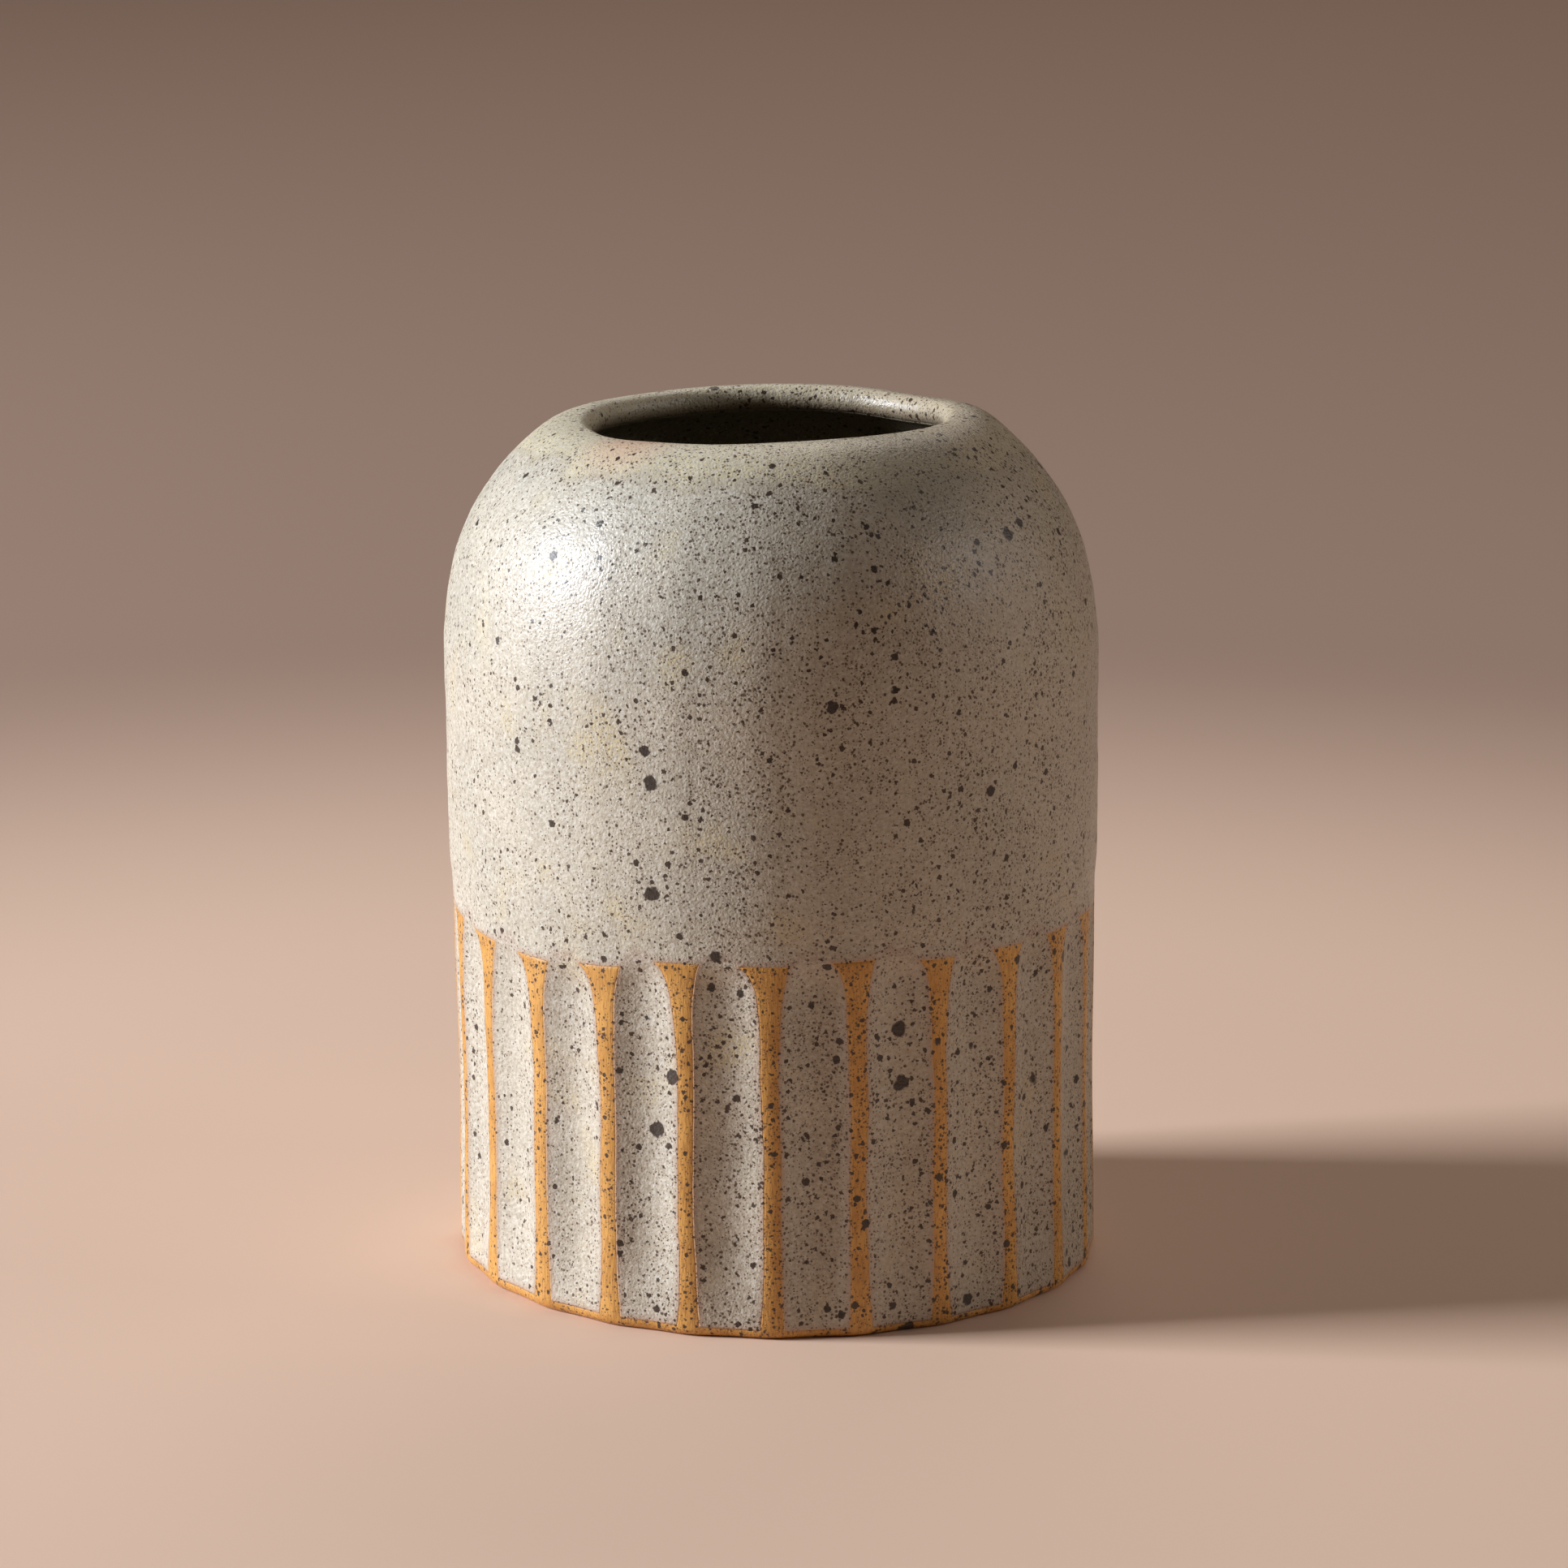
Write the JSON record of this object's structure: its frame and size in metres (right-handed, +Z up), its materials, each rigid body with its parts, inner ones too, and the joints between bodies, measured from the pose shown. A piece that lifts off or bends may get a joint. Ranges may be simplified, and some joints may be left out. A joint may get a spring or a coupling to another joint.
{
  "type": "bud vase",
  "caption": "Small round-shouldered stoneware vase with a wide rolled lip, glazed above and in the vertical flutes of its lower wall, with bare clay ridges between them.",
  "frame": {"origin": "middle of the foot, on the surface that the vase stands on", "axes": "+Z up along the pot's axis, out of the mouth; X and Y level, each through a ridge between two flutes"},
  "size_m": [0.092, 0.092, 0.121],
  "materials": {
    "bare_stoneware": "unglazed fired clay, golden orange, matt and sandy, with dark iron specks",
    "speckled_glaze": "satin matt glaze, warm pale grey, with fine dark iron specks and a few larger round spots",
    "liner_glaze": "satin glaze, the same speckled grey, a little glossier"
  },
  "bodies": {
    "root": {"stoneware_body": "bare_stoneware", "outer_glaze": "speckled_glaze", "liner_glaze": "liner_glaze"}
  },
  "joints": []
}
